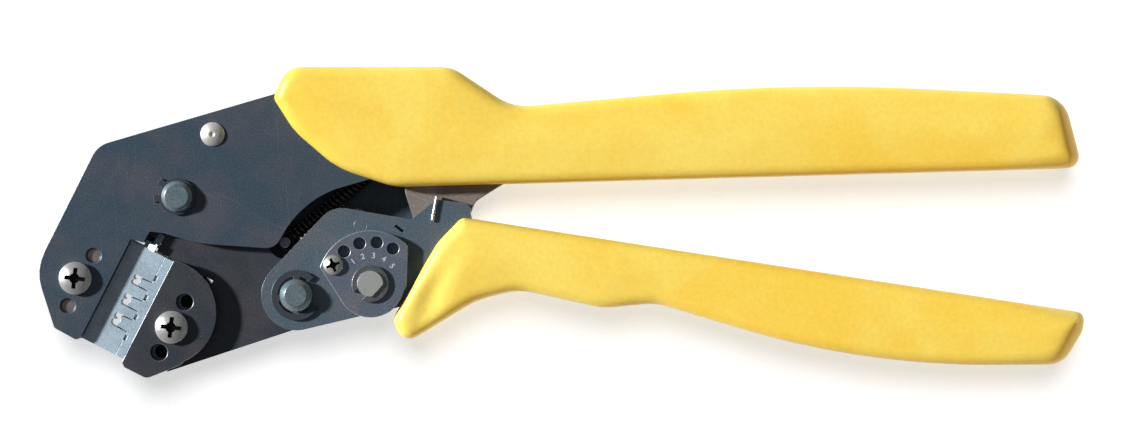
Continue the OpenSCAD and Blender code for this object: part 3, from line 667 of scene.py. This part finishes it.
def moulded_plastic(name, colour, deep):
    material, tree, shader = start_material(
        name, Metallic=0.0, Subsurface_Weight=0.12, Subsurface_Scale=0.002,
        Subsurface_Radius=(1.0, 0.5, 0.1))
    coat_out = use(tree, mottle, {"Coat": colour + (1,), "Patch": deep + (1,),
                                  "Patch Scale": 26.0, "Grain Scale": 900.0, "Grain": 0.08})
    line = use(tree, scratches, {"Scale": 26.0, "Amount": 0.5})["Mask"]
    tree.links.new(coat_out["Colour"], shader["Base Color"])
    rough = remap(tree, coat_out["Grain"], 0.0, 1.0, 0.36, 0.46)
    tree.links.new(maths(tree, "ADD", rough, maths(tree, "MULTIPLY", line, 0.1)),
                   shader["Roughness"])
    place = add(tree, "TexCoord").outputs["Object"]
    level = add(tree, "SeparateXYZ", {0: place}).outputs[2]
    off = maths(tree, "ABSOLUTE", maths(tree, "SUBTRACT", level, grip_mid))
    seam = remap(tree, off, 0.08 * MM, 0.3 * MM, 1.0, 0.0)
    height = maths(tree, "ADD", maths(tree, "MULTIPLY", coat_out["Grain"], 0.25), seam)
    bump(tree, shader, height, 0.06 * MM)
    return material


grip_finish = moulded_plastic("yellow_moulding", (0.95, 0.74, 0.14), (0.94, 0.64, 0.08))
for grip, node, body in ((upper_grip, "upper_grip", "frame"), (lower_grip, "lower_grip", "handle")):
    grip.data.materials.clear()
    grip.data.materials.append(grip_finish)
    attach(grip, body)
    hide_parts(node)
print("grips ride on frame and handle")

# %% [markdown]
# ## Return spring
# A close coil of wire pulls the jaw open. It hooks round one post on the jaw and one on the frame,
# and lies between the plates. The wire follows a curve with a round section, turned into a mesh.

# %% The return spring
WIRE_R, COIL_R, POST_R, TURNS = 0.45 * MM, 1.35 * MM, 1.25 * MM, 19
spring_z = (core_low + core_high) / 2
jaw_end = Vector((jaw_post.x, jaw_post.y, spring_z))
frame_end = Vector((frame_post.x, frame_post.y, spring_z))
lie = (frame_end - jaw_end).normalized()
across = Vector((-lie.y, lie.x, 0))
span = (frame_end - jaw_end).length
hook_r = POST_R + WIRE_R + 0.05 * MM
first = hook_r + 0.5 * MM


def hook(post, start, stop):
    return [post + hook_r * (lie * math.cos(a) + across * math.sin(a))
            for a in np.radians(np.arange(start, stop, -15))]


coil = []
for step in range(TURNS * 24 + 1):
    angle = math.tau * step / 24
    along = first + (span - 2 * first) * step / (TURNS * 24)
    coil.append(jaw_end + lie * along + across * COIL_R * math.cos(angle)
                + Vector((0, 0, COIL_R * math.sin(angle))))
path = hook(jaw_end, 330, 75) + coil + hook(frame_end, 90, -165)
curve = bpy.data.curves.new("return_spring_wire", "CURVE")
curve.dimensions = "3D"
curve.bevel_depth = WIRE_R
curve.bevel_resolution = 3
curve.use_fill_caps = True
line = curve.splines.new("POLY")
line.points.add(len(path) - 1)
for point, place in zip(line.points, path):
    point.co = (*place, 1)
rough_spring = bpy.data.objects.new("spring_curve", curve)
bpy.context.scene.collection.objects.link(rough_spring)
bpy.context.view_layer.update()
spring = bpy.data.objects.new("return_spring_coil", evaluated_mesh(rough_spring))
bpy.context.scene.collection.objects.link(spring)
bpy.data.objects.remove(rough_spring)
shade(spring, 50)
spring.data.materials.clear()
spring.data.materials.append(spring_finish)
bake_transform(spring)
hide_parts("return_spring")
print("spring of", TURNS, "turns over", round(span / MM, 1), "mm")

# %% [markdown]
# ## Numbers on the adjuster
# The dial carries the small numbers 1 to 5, one to a setting, filled with pale paint. They are
# plain figures, thickened a little so that they stand on the plate.

# %% Painted numbers
paint, tree, shader = start_material("number_paint", Metallic=0.0)
coat_out = use(tree, mottle, {"Coat": (0.62, 0.68, 0.7, 1), "Patch": (0.35, 0.4, 0.43, 1),
                              "Patch Scale": 2400.0, "Grain": 0.3})
tree.links.new(coat_out["Colour"], shader["Base Color"])
tree.links.new(remap(tree, coat_out["Grain"], 0.0, 1.0, 0.4, 0.6), shader["Roughness"])
bump(tree, shader, coat_out["Grain"], 0.01 * MM)
dial_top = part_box("adjuster_plate")[1].z
FIRST_HEADING, HEADING_STEP, FIGURE_R, FIGURE_SIZE = 128, 22.3, 6.4 * MM, 1.75 * MM
for number in range(5):
    heading = math.radians(FIRST_HEADING - HEADING_STEP * number)
    text = bpy.data.curves.new(f"figure_{number + 1}", "FONT")
    text.body = str(number + 1)
    text.size = FIGURE_SIZE
    text.align_x = text.align_y = "CENTER"
    text.extrude = 0.02 * MM
    text.offset = 0.03 * MM
    drawn = bpy.data.objects.new("figure", text)
    bpy.context.scene.collection.objects.link(drawn)
    bpy.context.view_layer.update()
    figure = bpy.data.objects.new(f"dial_number_{number + 1}", evaluated_mesh(drawn))
    bpy.data.objects.remove(drawn)
    bpy.context.scene.collection.objects.link(figure)
    figure.location = (adjuster.x + FIGURE_R * math.cos(heading),
                       adjuster.y + FIGURE_R * math.sin(heading), dial_top + 0.012 * MM)
    figure.rotation_euler.z = heading - math.pi / 2
    figure.data.materials.clear()
    figure.data.materials.append(paint)
    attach(figure, "adjuster")
print("numbers stand at", round(dial_top / MM, 2), "mm")

# %% [markdown]
# ## Table, light and camera
# The tool lies on a white table, which glows a little so that shadows on it stay pale. A low lamp
# at the left rakes over the steel, so every step throws a shadow to the right. It is linked to the
# tool alone, so that the table keeps only the soft shadow of the light above it. A warm fill from
# the right keeps the grips' far sides amber. The camera looks straight down.

# %% The white table
TABLE_GLOW = 0.6
table_mesh = bpy.data.meshes.new("table")
form = bmesh.new()
bmesh.ops.create_grid(form, x_segments=8, y_segments=8, size=1.6)
form.to_mesh(table_mesh)
form.free()
table = bpy.data.objects.new("table", table_mesh)
bpy.context.scene.collection.objects.link(table)
card, tree, shader = start_material("white_card", Metallic=0.0)
coat_out = use(tree, mottle, {"Coat": (0.6, 0.6, 0.6, 1), "Patch": (0.58, 0.58, 0.58, 1),
                              "Patch Scale": 30.0, "Grain Scale": 900.0, "Grain": 0.02})
tree.links.new(coat_out["Colour"], shader["Base Color"])
tree.links.new(remap(tree, coat_out["Grain"], 0.0, 1.0, 0.85, 0.95), shader["Roughness"])
shader["Emission Color"].default_value = (1, 1, 1, 1)
shader["Emission Strength"].default_value = TABLE_GLOW
bump(tree, shader, coat_out["Grain"], 0.02 * MM)
table_mesh.materials.append(card)
table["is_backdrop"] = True

# %% Lamps
tool_set = bpy.data.collections.new("tool_pieces")
table_set = bpy.data.collections.new("table_pieces")
table_set.objects.link(table)
for piece in bpy.context.scene.objects:
    if piece.type == "MESH" and piece != table:
        tool_set.objects.link(piece)


def lamp(name, direction, strength, spread, receivers=None, colour=(1, 1, 1)):
    data = bpy.data.lights.new(name, "SUN")
    data.energy = strength
    data.color = colour
    data.angle = math.radians(spread)
    made = bpy.data.objects.new(name, data)
    made.rotation_euler = Vector(direction).to_track_quat("-Z", "Y").to_euler()
    bpy.context.scene.collection.objects.link(made)
    if receivers:
        made.light_linking.receiver_collection = receivers
    return made


lamp("raking_lamp", (0.86, -0.24, -0.45), 6.0, 5, tool_set)
lamp("table_lamp", (0.06, -0.42, -1), 2.4, 30, table_set)
grip_set = bpy.data.collections.new("grip_pieces")
for grip in (upper_grip, lower_grip):
    grip_set.objects.link(grip)
lamp("warm_fill", (-0.8, 0.5, -0.2), 1.1, 60, grip_set, (1, 0.62, 0.22))
world = bpy.data.worlds.new("studio")
bpy.context.scene.world = world
world.use_nodes = True
world.node_tree.nodes.clear()
sky = add(world.node_tree, "Background", {"Color": (0.95, 0.97, 1, 1), "Strength": 0.12})
backdrop = add(world.node_tree, "Background", {"Color": (1, 1, 1, 1), "Strength": 1.0})
seen = add(world.node_tree, "LightPath").outputs["Is Camera Ray"]
both = add(world.node_tree, "MixShader", {0: seen, 1: sky.outputs[0], 2: backdrop.outputs[0]})
add(world.node_tree, "OutputWorld", {0: both.outputs[0]})
bpy.context.scene.view_settings.view_transform = "Standard"

# %% The camera, straight above
VIEW_W, DISTANCE, SENSOR = 0.2607, 0.9, 36.0
middle = (cad_box[0] + cad_box[1]) / 2
camera_data = bpy.data.cameras.new("camera")
camera_data.sensor_width = SENSOR
camera_data.lens = SENSOR * DISTANCE / VIEW_W
camera = bpy.data.objects.new("camera", camera_data)
camera.location = (middle.x + 1.07 * MM, middle.y + 0.65 * MM, plate_top + DISTANCE)
bpy.context.scene.collection.objects.link(camera)
bpy.context.scene.camera = camera
print("camera", round(camera_data.lens, 1), "mm lens,", DISTANCE, "m above the plates")

# %% [markdown]
# ## Measure and finish
# Both boxes, the CAD model's and the visual model's, are measured and their sizes printed.

# %% Sizes, and the last line
seen_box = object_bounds()
sizes = {"cad": [list(c) for c in cad_box], "visual": [list(c) for c in seen_box]}
for label, (low, high) in sizes.items():
    print(label, [round((b - a) / MM, 2) for a, b in zip(low, high)], "mm")
